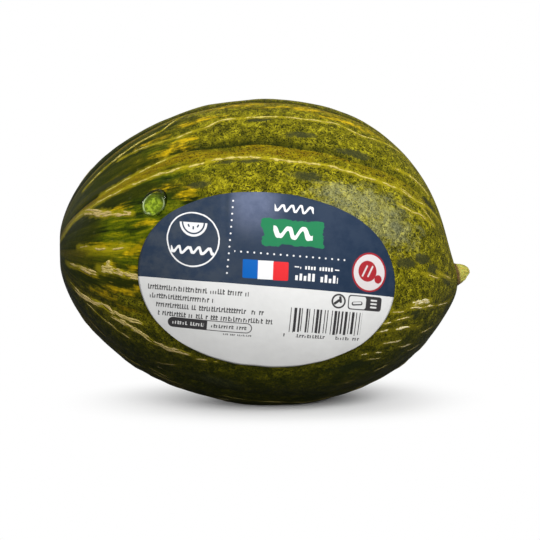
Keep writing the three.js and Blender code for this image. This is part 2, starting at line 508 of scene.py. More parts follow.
def new_group(name, inputs, outputs):
    """An effect that several materials share: gives the group, its tree, its inputs and its outputs."""
    group = bpy.data.node_groups.new(name, "ShaderNodeTree")
    for socket, kind in inputs.items():
        group.interface.new_socket(socket, in_out="INPUT", socket_type=kind)
    for socket in outputs:
        group.interface.new_socket(socket, in_out="OUTPUT", socket_type="NodeSocketFloat")
    group_in = group.nodes.new("NodeGroupInput")
    group_out = group.nodes.new("NodeGroupOutput")
    return group, Shader(group), group_in.outputs, group_out.inputs


def thread_group():
    """Fine wrinkled threads, as on cork, netted skin and dry stalk: a ridged noise in two sizes."""
    sockets = {"Place": "NodeSocketVector", "Scale": "NodeSocketFloat", "Width": "NodeSocketFloat"}
    group, shade, given, made = new_group("skin_threads", sockets, ("Threads", "Cloud"))
    cloud = shade.noise(given["Place"], given["Scale"], detail=1.5, roughness=0.6, distortion=0.7)
    finer = shade.maths("MULTIPLY", given["Scale"], 1.9)
    finer = shade.noise(given["Place"], finer, detail=1.0, distortion=0.5)

    def ridges(noise):
        from_middle = shade.maths("ABSOLUTE", shade.maths("SUBTRACT", noise, 0.5))
        return shade.maths("SUBTRACT", 1.0, shade.maths("DIVIDE", from_middle, given["Width"]), clamp=True)

    threads = shade.maths("MAXIMUM", ridges(cloud), shade.maths("MULTIPLY", ridges(finer), 0.75))
    shade.feed(made["Threads"], threads)
    shade.feed(made["Cloud"], cloud)
    return group


SKIN_THREADS = thread_group()


def skin_threads(shade, place, scale, width):
    made = shade.placed(SKIN_THREADS, {"Place": place, "Scale": scale, "Width": width})
    return made["Threads"], made["Cloud"]


BLACK_GREEN = rgb(0.008, 0.013, 0.002)
DARK_LEAF = rgb(0.020, 0.024, 0.002)
DEEP_GREEN = rgb(0.028, 0.044, 0.002)
LEAF_GREEN = rgb(0.090, 0.112, 0.002)
YELLOW_GREEN = rgb(0.31, 0.265, 0.003)
NET_GROUND_DARK = rgb(0.024, 0.025, 0.002)
NET_GROUND_LIGHT = rgb(0.070, 0.062, 0.003)
THREAD_DULL = rgb(0.160, 0.147, 0.003)
THREAD_BRIGHT = rgb(0.365, 0.325, 0.012)
OCHRE = rgb(0.29, 0.205, 0.002)
RUSSET = rgb(0.15, 0.085, 0.003)
AMBER = rgb(0.62, 0.41, 0.006)
BRUISE = rgb(0.030, 0.034, 0.012)
BLOOM_AND_SHEEN_GREY = rgb(0.30, 0.31, 0.17)
CORK_STAIN = rgb(0.34, 0.285, 0.008)

# How many of each feature there are to a metre.
NETTING = 520.0
CLUMPS = 170.0
THREAD_BLOTCHES = 300.0
SPECKS = 1200.0
FRAYED_EDGES = 260.0

# The bead of water lights the rind under it: its middle, as a part and an angle, and its radius.
DROP_PLACE = (-0.537, 24.6)
DROP_RADIUS = 6.0


def drop_axes():
    """Where the bead sits on the rind, and which ways are outward, lengthwise and up there."""
    part, angle = DROP_PLACE
    seat = rind_surface(part, angle)
    normal = rind_normal(part, angle)
    lengthwise = rind_surface(part + 0.01, angle) - seat
    lengthwise -= normal * (lengthwise @ normal)
    lengthwise /= np.linalg.norm(lengthwise)
    return seat, normal, lengthwise, np.cross(normal, lengthwise)


def pool(shade, place, right, up, radius, soft):
    """A round pool of light under the bead, placed and sized in radii of the bead."""
    seat, _, lengthwise, upwards = drop_axes()
    spot = in_frame(seat + DROP_RADIUS * (right * lengthwise + up * upwards))
    away = shade.node("ShaderNodeVectorMath", {0: place, 1: tuple(spot)}, output=1, operation="DISTANCE")
    return shade.step(away, radius * DROP_RADIUS * MM, radius * (1 - soft) * DROP_RADIUS * MM)


def rind_material():
    material, shade, surface = new_material("waxy_rind")
    rod = shade.vector("rod")
    space = shade.node("ShaderNodeTexCoord", output=3)
    # Patches drawn out along the ribs, in three sizes.
    patches = shade.noise(shade.stretched(rod, (0.020, 0.055, 0.055)), 1.0, detail=4, roughness=0.6)
    streaky = shade.stretched(rod, (0.06, 0.28, 0.28))
    streaky = shade.noise(streaky, 1.0, detail=5, roughness=0.65, distortion=0.4)
    hairs = shade.noise(shade.stretched(rod, (0.16, 0.95, 0.95)), 1.0, detail=4, roughness=0.6)
    ground = shade.weigh((patches, 0.80), (streaky, 0.58), (hairs, 0.22))
    smooth = shade.ramp(
        ground, (0.66, BLACK_GREEN), (0.74, DEEP_GREEN), (0.82, LEAF_GREEN), (0.93, YELLOW_GREEN),
    )
    # Deep green patches, partly standing for painted shade on the blossom end.
    deep_patch_and_shade = shade.step(shade.weigh((shade.value("deep_patch_and_shade"), 1.0), (streaky, 0.7)), 0.40, 0.95)
    smooth = shade.mix(shade.maths("MULTIPLY", deep_patch_and_shade, 0.85), smooth, DARK_LEAF)
    # The netting of fine threads, which thins out towards the blossom end.
    lines, cloud = skin_threads(shade, space, NETTING, 0.095)
    clumps = shade.noise(space, CLUMPS, detail=4, roughness=0.62)
    blotches = shade.step(shade.noise(space, THREAD_BLOTCHES), 0.4, 0.64)
    thread_colour = shade.mix(blotches, THREAD_DULL, THREAD_BRIGHT)
    netted = shade.mix(shade.step(clumps, 0.34, 0.66), NET_GROUND_DARK, NET_GROUND_LIGHT)
    density = shade.maths("ADD", shade.step(clumps, 0.25, 0.65), 0.5)
    cover = shade.maths("MULTIPLY", lines, density, clamp=True)
    netted = shade.mix(cover, netted, thread_colour)
    along = shade.node("ShaderNodeSeparateXYZ", {0: rod})
    reach = shade.weigh((along, 1.0), (patches, 110.0), (streaky, 60.0), (shade.value("shaded_underside"), 90.0))
    net_mask = shade.step(reach, 32.0, 66.0)
    colour = shade.mix(net_mask, smooth, netted)
    # Below each crease the shoulder of the rib is ochre, and just above it a dark band is painted as the
    # shade in the crease.
    crease_angle = shade.maths("ARCTAN2", shade.value("crease_sin"), shade.value("crease_cos"))
    phase = shade.maths("FRACT", shade.maths("ADD", shade.maths("DIVIDE", crease_angle, 2 * math.pi), 1.0))
    shoulder = shade.step(shade.weigh((phase, 1.0), (streaky, 0.22), (clumps, 0.14)), 0.44, 0.29)
    crease = shade.value("crease")
    shoulder = shade.maths("MULTIPLY", shoulder, crease)
    band = shade.maths("MULTIPLY", shoulder, shade.step(patches, 0.36, 0.54))
    mottled = shade.mix(shade.step(hairs, 0.42, 0.6), RUSSET, OCHRE)
    mottled = shade.mix(shade.maths("MULTIPLY", cover, 0.55), mottled, THREAD_DULL)
    colour = shade.mix(shade.maths("MULTIPLY", band, 0.85), colour, mottled)
    # Painted shade: a dark band just above each crease.
    fold = shade.step(shade.weigh((phase, 1.0), (clumps, 0.10)), 0.90, 1.04)
    fold = shade.maths("MULTIPLY", fold, crease)
    colour = shade.mix(shade.maths("MULTIPLY", fold, 0.85), colour, BLACK_GREEN)
    # Dark specks, thickest in the netting.
    pepper = shade.step(shade.noise(space, SPECKS, detail=1), 0.52, 0.64)
    thickness = shade.weigh((net_mask, 0.55), (shade.step(clumps, 0.66, 0.40), 0.4))
    colour = shade.mix(shade.maths("MULTIPLY", pepper, thickness), colour, BLACK_GREEN)
    # Flames, bruises, bloom partly painted as sheen, and the stain beside the cork, with edges that the same
    # noise frays.
    fray = shade.maths("SUBTRACT", shade.noise(space, FRAYED_EDGES, detail=4), 0.5)
    fray = shade.maths("MULTIPLY", fray, 1.1)
    brush = shade.maths("MULTIPLY", shade.maths("SUBTRACT", hairs, 0.5), 1.6)
    flame = shade.step(shade.weigh((shade.value("amber"), 1.0), (brush, 1.2), (fray, 1.0)), 0.35, 1.15)
    colour = shade.mix(flame, colour, shade.mix(shade.step(clumps, 0.40, 0.60), OCHRE, AMBER))
    bruise = shade.step(shade.weigh((shade.value("bruise"), 1.0), (fray, 0.8)), 0.36, 0.66)
    colour = shade.mix(shade.maths("MULTIPLY", bruise, 0.85), colour, BRUISE)
    # Grey waxy bloom; the patches on the label's side are a painted sheen.
    veil = shade.step(shade.weigh((shade.value("bloom_and_sheen"), 1.0), (fray, 1.2), (brush, 0.5)), 0.15, 0.85)
    veil = shade.maths("MULTIPLY", veil, shade.weigh((lines, 0.36), (1.0, 0.14)))
    colour = shade.mix(veil, colour, BLOOM_AND_SHEEN_GREY)
    stain = shade.step(shade.weigh((shade.value("halo"), 1.0), (fray, 1.0), (brush, 0.4)), 0.25, 1.0)
    colour = shade.mix(shade.maths("MULTIPLY", stain, 0.6), colour, CORK_STAIN)
    # Painted shade: the underside is darkened almost to black.
    shaded_underside = shade.mix(shade.weigh((cover, -0.14), (1.0, 0.955)), colour, BLACK_GREEN)
    below = shade.step(shade.weigh((shade.value("shaded_underside"), 1.0), (fray, 0.1)), 0.0, 1.0)
    colour = shade.mix(below, colour, shaded_underside)
    # The bead of water gathers light under its low side, and in a bright sickle along each edge.
    lit = shade.mix(shade.step(cloud, 0.38, 0.62), rgb(0.060, 0.095, 0.003), rgb(0.20, 0.27, 0.015))
    under_bead = pool(shade, space, -0.10, -0.15, 1.0, 0.6)
    colour = shade.mix(shade.maths("MULTIPLY", under_bead, 0.9), colour, lit)
    outer, inner = pool(shade, space, -0.04, 0.02, 0.80, 0.10), pool(shade, space, 0.08, -0.02, 0.88, 0.14)
    left_sickle = shade.maths("SUBTRACT", outer, inner, clamp=True)
    outer, inner = pool(shade, space, 0.06, -0.03, 0.80, 0.10), pool(shade, space, -0.03, 0.03, 0.86, 0.14)
    right_sickle = shade.maths("SUBTRACT", outer, inner, clamp=True)
    sickles = shade.maths("MULTIPLY", shade.maths("MAXIMUM", left_sickle, right_sickle), 0.9)
    colour = shade.mix(sickles, colour, rgb(0.40, 0.47, 0.29))
    shade.feed(surface["Base Color"], colour)
    shade.feed(surface["Roughness"], shade.weigh((lines, 0.10), (cloud, 0.25), (1.0, 0.30)))
    relief = shade.weigh((shade.maths("MULTIPLY", cover, net_mask), 0.8), (cloud, 0.5), (hairs, 0.5))
    bump = {"Strength": 0.6, "Distance": 0.3 * MM, "Height": relief}
    shade.feed(surface["Normal"], shade.node("ShaderNodeBump", bump))
    surface["Specular IOR Level"].default_value = 0.07
    return material


rind.data.materials.append(rind_material())
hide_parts("melon")
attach(rind, "root")

# ---- The cork streaks ----
# Where the rind split as it grew it healed with pale dry cork. The streaks are raised ridges of it,
# part of the same skin, long ones beside the creases and short ones scattered near the two ends.

CORK_STEP = 0.9
CORK_RISE = 0.28
CORK_BEND = 5.0


def smooth_through(knots, stations):
    """Angles along a line through the knots, with its bends rounded off."""
    straight = np.interp(stations, knots[:, 0], knots[:, 1])
    reach = int(CORK_BEND / CORK_STEP)
    padded = np.concatenate([np.full(reach, straight[0]), straight, np.full(reach, straight[-1])])
    kernel = np.hanning(2 * reach + 1)
    return np.convolve(padded, kernel / kernel.sum(), mode="valid")


# The section of a strand: how far across, in half widths, and how high, in rises.
STRAND_SECTION = [(-1.0, -0.6), (-0.5, 0.55), (0.1, 1.0), (0.6, 0.6), (1.0, -0.6), (0.0, -1.8)]


def cork_strand(half_width, line, offset, seed, solid=0.0):
    """One strand: a low closed ridge. Unless it is solid it dips under the skin here and there."""
    knots = np.array(line, float)
    stations = np.arange(knots[0, 0], knots[-1, 0] + CORK_STEP, CORK_STEP)
    part = np.clip(stations / HALF_LENGTH, -0.985, 0.985)
    radius = body_radius(part)
    stray = offset + 0.3 * wander(stations, 8, seed)
    angles = smooth_through(knots, stations) + np.degrees(stray / radius)
    taper = np.sin(math.pi * np.linspace(0, 1, len(stations))) ** 0.45
    ragged = 1 + 0.42 * wander(stations, 4.5, seed + 1) + 0.3 * wander(stations, 2.2, seed + 2)
    width = half_width * taper * np.clip(ragged, 0.3, 1.8)
    broken = np.clip(0.72 + 0.25 * solid + (1.0 - 0.6 * solid) * wander(stations, 12, seed + 3), -0.4, 1.3)
    rise = CORK_RISE * taper * broken
    rings = []
    for across, height in STRAND_SECTION:
        ring_angle = angles + np.degrees(across * width / radius)
        lift = height * np.where(height > 0, rise, CORK_RISE)
        rings.append(rind_surface(part, ring_angle) + rind_normal(part, ring_angle) * lift[:, None])
    return np.stack(rings, 1), np.clip(taper * broken, 0, 1)


def strands(half_width, line, seed):
    """A thin streak is one strand. A thick one is a bundle of them that run into each other."""
    if half_width < 1.0:
        return [cork_strand(0.8 * half_width, line, 0.0, seed)]
    count = 2 if half_width < 1.5 else 3
    offsets = np.linspace(-0.5, 0.5, count) * half_width
    return [
        cork_strand(half_width / count + 0.25, line, offset, seed + 10 * number, solid=0.5)
        for number, offset in enumerate(offsets)
    ]


def build_streaks():
    points, faces, tints, across, proud = [], [], [], [], []
    count = 0
    for number, (half_width, tint, line) in enumerate(splits):
        for rings, high in strands(half_width, line, 100 + 50 * number):
            steps, sides = rings.shape[:2]
            points.append(rings.reshape(-1, 3))
            tints.append(np.full(steps * sides, tint))
            across.append(np.tile([side for side, _ in STRAND_SECTION], steps))
            proud.append(np.repeat(high, sides))
            for step in range(steps - 1):
                for side in range(sides):
                    a = count + step * sides + side
                    b = count + step * sides + (side + 1) % sides
                    faces.append((a, b, b + sides, a + sides))
            faces.append(tuple(count + side for side in reversed(range(sides))))
            faces.append(tuple(count + (steps - 1) * sides + side for side in range(sides)))
            count += steps * sides
    points = np.concatenate(points)
    piece = add_piece("cork_streaks", in_frame(points), faces)
    add_values(piece, "tint", np.concatenate(tints))
    add_values(piece, "across", np.concatenate(across))
    add_values(piece, "proud", np.concatenate(proud))
    turn = np.arctan2(points[:, 2], -points[:, 1])
    add_values(piece, "rod", on_rod(points[:, 0], turn))
    add_values(piece, "shaded_underside", underside_share(turn))
    flat = np.stack([np.mod(turn / (2 * math.pi), 1.0), points[:, 0] / (2 * HALF_LENGTH + 10) + 0.5], -1)
    corners = np.zeros(len(piece.data.loops), dtype=np.int32)
    piece.data.loops.foreach_get("vertex_index", corners)
    add_map(piece, flat[corners])
    return piece


def cork_material():
    material, shade, surface = new_material("dry_cork")
    rod = shade.vector("rod")
    lines, cloud = skin_threads(shade, shade.stretched(rod, (0.6, 2.0, 2.0)), 1.0, 0.12)
    colour = shade.ramp(
        shade.value("tint"),
        (0.0, rgb(0.54, 0.46, 0.07)), (0.5, rgb(0.54, 0.39, 0.14)), (1.0, rgb(0.78, 0.72, 0.48)),
    )
    colour = shade.mix(shade.step(cloud, 0.56, 0.40), colour, rgb(0.36, 0.27, 0.04))
    colour = shade.mix(shade.maths("MULTIPLY", lines, 0.3), colour, rgb(0.78, 0.68, 0.36))
    # Where a streak sinks into the skin it is only a yellow stain.
    sunk = shade.step(shade.weigh((shade.value("proud"), 1.0), (cloud, 0.5)), 0.85, 0.45)
    colour = shade.mix(sunk, colour, CORK_STAIN)
    # A painted shadow lies along the lower edge of each raised streak.
    lower = shade.step(shade.weigh((shade.value("across"), 1.0), (cloud, 0.6)), 0.0, -0.65)
    colour = shade.mix(lower, colour, rgb(0.035, 0.026, 0.004))
    # Painted shade: the streaks darken on the underside, as the rind does.
    shaded_underside = shade.step(shade.value("shaded_underside"), 0.5, 1.0)
    colour = shade.mix(shade.maths("MULTIPLY", shaded_underside, 0.88), colour, rgb(0.03, 0.026, 0.007))
    shade.feed(surface["Base Color"], colour)
    shade.feed(surface["Roughness"], shade.maths("ADD", shade.maths("MULTIPLY", cloud, 0.3), 0.5))
    bump = {"Strength": 0.7, "Distance": 0.2 * MM, "Height": shade.maths("ADD", lines, cloud)}
    shade.feed(surface["Normal"], shade.node("ShaderNodeBump", bump))
    surface["Specular IOR Level"].default_value = 0.2
    return material


cork_streaks = build_streaks()
cork_streaks.data.materials.append(cork_material())
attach(cork_streaks, "root")

# ---- The stalk stub ----
# What is left of the vine's stalk: a short fibrous peg that dried on the neck of the melon, snapped
# off at a slant so that its yellow heart shows.

STALK_RADIUS = 5.1
STALK_LENGTH = 7.0
STALK_CUT = 48.0
STALK_SIDES = 72
STALK_RINGS = 26
STALK_GAP = 0.3


def build_stalk():
    """A tapered peg with low flutes, a flared foot and its end planed off by the slanting break."""
    profile_along = [-0.12, 0.0, 0.14, 0.43, 0.7, 0.9, 1.0]
    profile_out = [1.12, 1.06, 0.97, 0.87, 0.7, 0.45, 0.0]
    profile_level = np.linspace(0, 1, len(profile_out))
    turns = 2 * math.pi * np.arange(STALK_SIDES) / STALK_SIDES
    level = np.linspace(0, 1, STALK_RINGS)
    along = np.interp(level, profile_level, profile_along)
    out = np.interp(level, profile_level, profile_out)
    along_grid = np.repeat(along[:, None], STALK_SIDES, 1) * STALK_LENGTH
    flutes = 1 + 0.035 * np.sin(5 * turns + 0.6) + 0.02 * np.sin(13 * turns) + 0.012 * np.sin(29 * turns + 1)
    out_grid = out[:, None] * STALK_RADIUS * flutes[None, :]
    side = out_grid * np.sin(turns)
    up = out_grid * np.cos(turns)
    # The break: nothing reaches past this plane, and torn fibres make it uneven.
    slant = math.radians(STALK_CUT)
    reach = (along_grid - 0.8) * math.cos(slant) - (up + STALK_RADIUS) * math.sin(slant)
    torn = 0.18 * np.sin(side * 3.1 + 0.5) + 0.12 * np.sin(side * 7.3 + up * 2.0)
    over = np.maximum(0, reach - torn)
    along_grid = along_grid - over * math.cos(slant)
    up = up + over * math.sin(slant)
    broken = np.clip(over / 0.4, 0, 1)
    points = np.stack([along_grid, side, up], -1).reshape(-1, 3)
    points = np.concatenate([points, [[profile_along[0] * STALK_LENGTH, 0, 0]]])
    broken = np.concatenate([broken.ravel(), [0.0]])
    foot = len(points) - 1
    faces = []
    for ring in range(STALK_RINGS - 1):
        for number in range(STALK_SIDES):
            a = ring * STALK_SIDES + number
            b = ring * STALK_SIDES + (number + 1) % STALK_SIDES
            faces.append((a, b, b + STALK_SIDES, a + STALK_SIDES))
    for number in range(STALK_SIDES):
        faces.append((foot, (number + 1) % STALK_SIDES, number))
    lean = math.atan(NECK_LEAN)
    along_x, up_z = points[:, 0].copy(), points[:, 2].copy()
    points[:, 0] = along_x * math.cos(lean) - up_z * math.sin(lean)
    points[:, 2] = along_x * math.sin(lean) + up_z * math.cos(lean)
    seat = rind_surface(1.0, 0.0) + np.array([STALK_GAP, 0, 0])
    piece = add_piece("stalk", in_frame(points + seat), faces)
    add_values(piece, "broken", broken)
    add_values(piece, "grain", np.stack([along_x, points[:, 1], up_z], -1))
    add_values(piece, "level", along_x / STALK_LENGTH)
    return piece


def stalk_material():
    material, shade, surface = new_material("dry_stalk")
    grain = shade.vector("grain")
    lines, cloud = skin_threads(shade, shade.stretched(grain, (0.25, 1.1, 1.1)), 1.0, 0.12)
    bark = shade.mix(shade.step(cloud, 0.35, 0.65), rgb(0.30, 0.28, 0.045), rgb(0.44, 0.39, 0.06))
    bark = shade.mix(shade.maths("MULTIPLY", lines, 0.25), bark, rgb(0.55, 0.50, 0.14))
    bark = shade.mix(shade.step(shade.value("level"), 0.22, 0.0), bark, rgb(0.11, 0.065, 0.022))
    heart = shade.mix(shade.step(cloud, 0.3, 0.7), rgb(0.60, 0.47, 0.05), rgb(0.72, 0.64, 0.18))
    colour = shade.mix(shade.value("broken"), bark, heart)
    shade.feed(surface["Base Color"], colour)
    shade.feed(surface["Roughness"], shade.maths("ADD", shade.maths("MULTIPLY", cloud, 0.3), 0.5))
    bump = {"Strength": 0.8, "Distance": 0.3 * MM, "Height": shade.maths("ADD", lines, cloud)}
    shade.feed(surface["Normal"], shade.node("ShaderNodeBump", bump))
    surface["Subsurface Weight"].default_value = 0.15
    surface["Subsurface Scale"].default_value = 2 * MM
    return material


stalk = build_stalk()
stalk.data.materials.append(stalk_material())
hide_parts("stalk_stub")
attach(stalk, "root")

# ---- The label ----
# A thin oval of coated paper, printed navy above and pale grey below, stuck on the rind so that it
# follows the ribs a little. Its print is plain: rules, bars, discs, a slice of melon and a tricolour.

LABEL_HALF_LENGTH = 60.3
LABEL_HALF_WIDTH = 41.4
LABEL_THICKNESS = 0.2
LABEL_GAP = 0.3
LABEL_MIDDLE = 0.488
LABEL_ANGLE = -7.4
LABEL_TURN = -3.2
LABEL_COLUMNS = 112
LABEL_ROWS = 84
LABEL_SAG = 0.0009

meridian_part = np.sin(np.linspace(-math.pi / 2, math.pi / 2, 721))
meridian_steps = np.hypot(np.diff(HALF_LENGTH * meridian_part), np.diff(body_radius(meridian_part)))
meridian_arc = np.concatenate([[0], np.cumsum(meridian_steps)])


def on_label(right, up, lift):
    """The place of a point of the label, given in mm from its middle, on the rind under it."""
    turn = math.radians(LABEL_TURN)
    lengthwise = right * math.cos(turn) - up * math.sin(turn)
    aroundwise = right * math.sin(turn) + up * math.cos(turn)
    arc = LABEL_MIDDLE * meridian_arc[-1] + lengthwise
    part = np.interp(arc, meridian_arc, meridian_part)
    angle = LABEL_ANGLE + np.degrees(aroundwise / body_radius(part))
    return rind_surface(part, angle, skin=False) + rind_normal(part, angle, skin=False) * lift[..., None]


def label_sheet():
    """Places over the oval, row by row. The middle row is the line where the two printed halves meet."""
    across, level = np.meshgrid(
        np.linspace(-1, 1, LABEL_COLUMNS + 1), np.linspace(-1, 1, LABEL_ROWS + 1), indexing="xy",
    )
    # The printed line sags towards its ends, and the rows next to it go with it. The rim stays an oval.
    narrowed = np.sqrt(1 - across**2 / 2)
    sag = LABEL_SAG * (LABEL_HALF_LENGTH * across) ** 2 / (LABEL_HALF_WIDTH * narrowed)
    level = level - sag * (1 - np.abs(level))
    right = LABEL_HALF_LENGTH * across * np.sqrt(1 - level**2 / 2)
    up = LABEL_HALF_WIDTH * level * narrowed
    return right, up


def build_label():
    right, up = label_sheet()
    edge = np.hypot(right / LABEL_HALF_LENGTH, up / LABEL_HALF_WIDTH)
    around = np.arctan2(up, right)
    # Paper can't stretch over a double curve, so its rim ripples very slightly.
    ripples = 0.14 * edge**8 * (1 + np.sin(17 * around + 1.0) * np.sin(3 * around + 0.4))
    face = on_label(right, up, LABEL_GAP + LABEL_THICKNESS + ripples)
    back = on_label(right, up, LABEL_GAP + ripples)
    points = np.concatenate([face.reshape(-1, 3), back.reshape(-1, 3)])
    spread = np.stack([0.25 + right / LABEL_HALF_LENGTH * 0.24, 0.5 + up / LABEL_HALF_WIDTH * 0.48], -1)
    spread = spread.reshape(-1, 2)
    size = right.size
    stride = LABEL_COLUMNS + 1
    faces, places, papers = [], [], []

    def add(corners, shift, paper):
        faces.append(tuple(corners))
        places.extend((spread[corner % size, 0] + shift, spread[corner % size, 1]) for corner in corners)
        papers.append(paper)

    for row in range(LABEL_ROWS):
        upper = row >= LABEL_ROWS // 2
        for column in range(LABEL_COLUMNS):
            corner = row * stride + column
            square = [corner, corner + 1, corner + 1 + stride, corner + stride]
            add(square, 0.0, int(upper))
            add([size + number for number in reversed(square)], 0.5, 2)
    bottom = list(range(stride))
    right_side = [row * stride + LABEL_COLUMNS for row in range(1, LABEL_ROWS + 1)]
    top = [LABEL_ROWS * stride + column for column in reversed(range(LABEL_COLUMNS))]
    left_side = [row * stride for row in reversed(range(1, LABEL_ROWS))]
    rim = bottom + right_side + top + left_side
    for number, corner in enumerate(rim):
        following = rim[(number + 1) % len(rim)]
        add([following, corner, size + corner, size + following], 0.0, 2)
    piece = add_piece("paper_label", in_frame(points), faces)
    add_map(piece, np.array(places))
    piece.data.polygons.foreach_set("material_index", papers)
    ink = np.stack([right, up + LABEL_SAG * right**2, 0 * right], -1).reshape(-1, 3)
    add_values(piece, "ink", np.concatenate([ink, ink]))
    return piece


def stamp_group():
    """One printed shape: a bar with round corners, or a disc when its corners are as round as can be."""
    vector, number = "NodeSocketVector", "NodeSocketFloat"
    sockets = {
        "Place": vector, "Middle": vector, "Half Size": vector,
        "Corner": number, "Turn": number, "Fray": number,
    }
    group, shade, given, made = new_group("printed_shape", sockets, ("Mask", "Distance"))
    corner = given["Corner"]
    away = shade.node("ShaderNodeVectorMath", {0: given["Place"], 1: given["Middle"]}, operation="SUBTRACT")
    turned = {"Vector": away, "Angle": given["Turn"]}
    away = shade.node("ShaderNodeVectorRotate", turned, rotation_type="Z_AXIS")
    away = shade.node("ShaderNodeVectorMath", {0: away}, operation="ABSOLUTE")
    away = shade.node("ShaderNodeVectorMath", {0: away, 1: given["Half Size"]}, operation="SUBTRACT")
    inset = shade.node("ShaderNodeCombineXYZ", {0: corner, 1: corner})
    away = shade.node("ShaderNodeVectorMath", {0: away, 1: inset}, operation="ADD")
    outside = shade.node("ShaderNodeVectorMath", {0: away, 1: (0, 0, 0)}, operation="MAXIMUM")
    outside = shade.node("ShaderNodeVectorMath", {0: outside}, operation="LENGTH", output=1)
    apart = shade.node("ShaderNodeSeparateXYZ", {0: away})
    deepest = shade.maths("MAXIMUM", apart, apart.node.outputs[1])
    distance = shade.maths("ADD", outside, shade.maths("MINIMUM", deepest, 0.0))
    distance = shade.maths("SUBTRACT", distance, corner)
    distance = shade.maths("ADD", distance, given["Fray"])
    shade.feed(made["Mask"], shade.step(distance, 0.12, -0.12))
    shade.feed(made["Distance"], distance)
    return group


PRINTED_SHAPE = stamp_group()

NAVY = rgb(0.018, 0.032, 0.060)
PALE = rgb(0.62, 0.62, 0.61)
WHITE = rgb(0.70, 0.70, 0.70)
INK = rgb(0.035, 0.033, 0.035)
GREY_INK = rgb(0.07, 0.07, 0.07)
SIGNAL_GREEN = rgb(0.010, 0.16, 0.062)
FLAG_BLUE = rgb(0.0, 0.095, 0.38)
FLAG_RED = rgb(0.62, 0.02, 0.025)
RIM_RED = rgb(0.31, 0.018, 0.025)
DISC_WHITE = rgb(0.57, 0.53, 0.53)

HEADLINE = (9.5, 34.8)
BADGE = (9.5, 24.0)
RING = (-34.8, 18.0)
DISC = (46.0, 9.8)
BARS = (27.4, -14.8)
RULE_HEIGHT = 14.2
POST_PLACE = -19.0
DOT_PITCH = 2.9

# Each printed shape: ink, middle, half size, corner radius and turn in degrees.
NAVY_PRINT = [
    (FLAG_BLUE, (-8.6, 7.0), (3.4, 4.1), 0.6, 1.5),
    (WHITE, (-1.9, 7.0), (3.4, 4.1), 0.0, 1.5),
    (FLAG_RED, (4.8, 7.0), (3.4, 4.1), 0.6, 1.5),
    (RIM_RED, DISC, (8.7, 8.7), 8.7, 0),
    (DISC_WHITE, DISC, (7.9, 7.9), 7.9, 0),
    (RIM_RED, (DISC[0] - 1.0, DISC[1] + 0.5), (4.6, 4.6), 4.6, 0),
    (DISC_WHITE, (DISC[0] - 2.4, DISC[1] + 0.5), (0.4, 2.8), 0.4, -25),
    (DISC_WHITE, (DISC[0] + 0.4, DISC[1] + 0.5), (0.4, 2.8), 0.4, -25),
    (RIM_RED, (DISC[0] + 4.6, DISC[1] - 2.6), (1.9, 1.9), 1.9, 0),
    (WHITE, (11.9, 9.5), (1.0, 0.25), 0.0, 0),
    (WHITE, (30.2, 9.5), (1.0, 0.25), 0.0, 0),
]
PALE_PRINT = [
    (INK, (32.0, -4.2), (3.4, 3.4), 3.4, 0),
    (PALE, (32.0, -4.2), (2.6, 2.6), 2.6, 0),
    (INK, (31.2, -4.6), (1.7, 0.6), 0.6, 40),
    (INK, (32.8, -3.4), (0.6, 1.6), 0.6, 10),
    (INK, (45.0, -4.2), (8.5, 3.4), 1.4, 0),
    (PALE, (41.2, -4.2), (4.2, 2.9), 1.2, 0),
    (INK, (41.0, -4.6), (2.7, 0.9), 0.9, 6),
    (PALE, (41.0, -4.4), (2.1, 0.45), 0.4, 6),
    (PALE, (49.4, -2.6), (1.7, 0.4), 0.4, 0),
    (PALE, (49.4, -4.2), (1.7, 0.4), 0.4, 0),
    (PALE, (49.4, -5.8), (1.7, 0.4), 0.4, 0),
    (INK, (-25.0, -20.6), (19.2, 2.6), 2.6, 0),
    (PALE, (-15.6, -20.6), (9.4, 2.2), 2.2, 0),
    (PALE, (-23.0, -20.6), (3.0, 2.2), 0.0, 0),
]

# Handwriting that spells nothing: left end, right end, middle height, swing, loop length, half width.
SQUIGGLES = [
    (1.0, 18.4, HEADLINE[1], 1.2, 4.2, 0.5),
    (BADGE[0] - 8.8, BADGE[0] + 8.8, BADGE[1], 1.8, 7.0, 0.9),
    (RING[0] - 10.0, RING[0] + 9.8, RING[1] - 4.8, 1.1, 4.6, 0.6),
]

# Ticks that stand for lines of print: ink, half height, tick spacing, line spacing, how much of its
# space a tick and its joint to the next one fill, and each line's left end, right end and height.
APART = (0.62, 0.0)
JOINED = (0.42, 0.82)
NAVY_LINES = [
    (WHITE, 0.85, 1.3, 9.0, APART, [(13.4, 28.6, 9.5)]),
    (WHITE, 1.7, 1.9, 9.0, APART, [(11.3, 30.8, 5.3)]),
]
PALE_LINES = [
    (GREY_INK, 1.2, 1.12, 4.1, JOINED, [
        (-56.0, -8.6, -4.2), (-54.0, -23.5, -8.3), (-51.0, -0.6, -12.4), (-49.2, 3.0, -16.5),
    ]),
    (PALE, 0.9, 1.2, 9.0, JOINED, [(-42.0, -27.5, -20.6)]),
    (GREY_INK, 0.9, 1.15, 9.0, JOINED, [(-24.5, -7.8, -20.6)]),
    (GREY_INK, 0.45, 0.8, 9.0, JOINED, [(-18.5, -5.6, -24.4)]),
    (GREY_INK, 0.9, 1.2, 9.0, JOINED, [(7.5, 9.0, -22.3), (14.0, 27.5, -22.3), (32.5, 45.5, -22.3)]),
]


def ink_place(shade):
    """The place on the print, and how far right and up that is."""
    place = shade.vector("ink")
    apart = shade.node("ShaderNodeSeparateXYZ", {0: place})
    return place, apart, apart.node.outputs[1]


def printed(shade, place, middle, half, corner, turn, fray=0.0, output="Mask"):
    """1 inside a shape and 0 outside it, or how far outside it a place is."""
    return shade.placed(PRINTED_SHAPE, {
        "Place": place, "Middle": (*middle, 0), "Half Size": (*half, 0),
        "Corner": corner, "Turn": -math.radians(turn), "Fray": fray,
    })[output]


def print_shapes(shade, colour, place, shapes):
    for ink, middle, half, corner, turn in shapes:
        colour = shade.mix(printed(shade, place, middle, half, corner, turn), colour, ink)
    return colour


